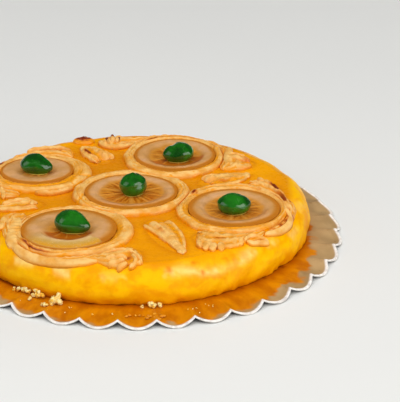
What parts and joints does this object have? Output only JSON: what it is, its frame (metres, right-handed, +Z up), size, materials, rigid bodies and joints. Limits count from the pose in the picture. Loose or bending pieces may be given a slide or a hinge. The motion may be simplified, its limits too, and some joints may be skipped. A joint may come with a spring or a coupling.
{
  "type": "glazed citrus almond tart",
  "caption": "Flat round glazed tart on a scalloped gold card, topped with piped almond rings, leaves and scrolls round candied citrus slices and green candied cherries.",
  "frame": {"origin": "under the middle of the gold card, in the plane that its lobes stand on", "axes": "+Z up, +Y towards the back of the tart as it is pictured, +X to the right"},
  "size_m": [0.2808, 0.2808, 0.0464],
  "materials": {
    "gold_card": "matte gold foil face over pale grey card, scalloped and fluted at the rim",
    "glazed_cake": "moist bright yellow cake under a clear amber glaze",
    "almond_paste": "baked piped almond paste, pale tan, browned on its ridges, lightly glazed",
    "candied_citrus": "glossy amber candied flesh, pale pinkish pith and amber rind",
    "candied_cherry": "glossy deep green candied fruit"
  },
  "bodies": {
    "root": {"cake_card": "gold_card", "tart_base": "glazed_cake", "ring_centre": "almond_paste", "ring_right": "almond_paste", "ring_back": "almond_paste", "ring_left": "almond_paste", "ring_front": "almond_paste", "slice_centre": "candied_citrus", "slice_right": "candied_citrus", "slice_back": "candied_citrus", "slice_left": "candied_citrus", "slice_front": "candied_citrus", "cherry_centre": "candied_cherry", "cherry_right": "candied_cherry", "cherry_back": "candied_cherry", "cherry_left": "candied_cherry", "cherry_front": "candied_cherry", "leaf_front": "almond_paste", "leaf_right": "almond_paste", "leaf_left": "almond_paste", "leaf_back": "almond_paste", "scroll_right_low": "almond_paste", "scroll_right_high": "almond_paste", "scroll_front_right": "almond_paste", "scroll_front_left": "almond_paste", "scroll_back_right": "almond_paste", "scroll_back_left": "almond_paste", "scroll_left_high": "almond_paste", "scroll_left_low": "almond_paste", "rim_dab": "almond_paste"}
  },
  "joints": []
}
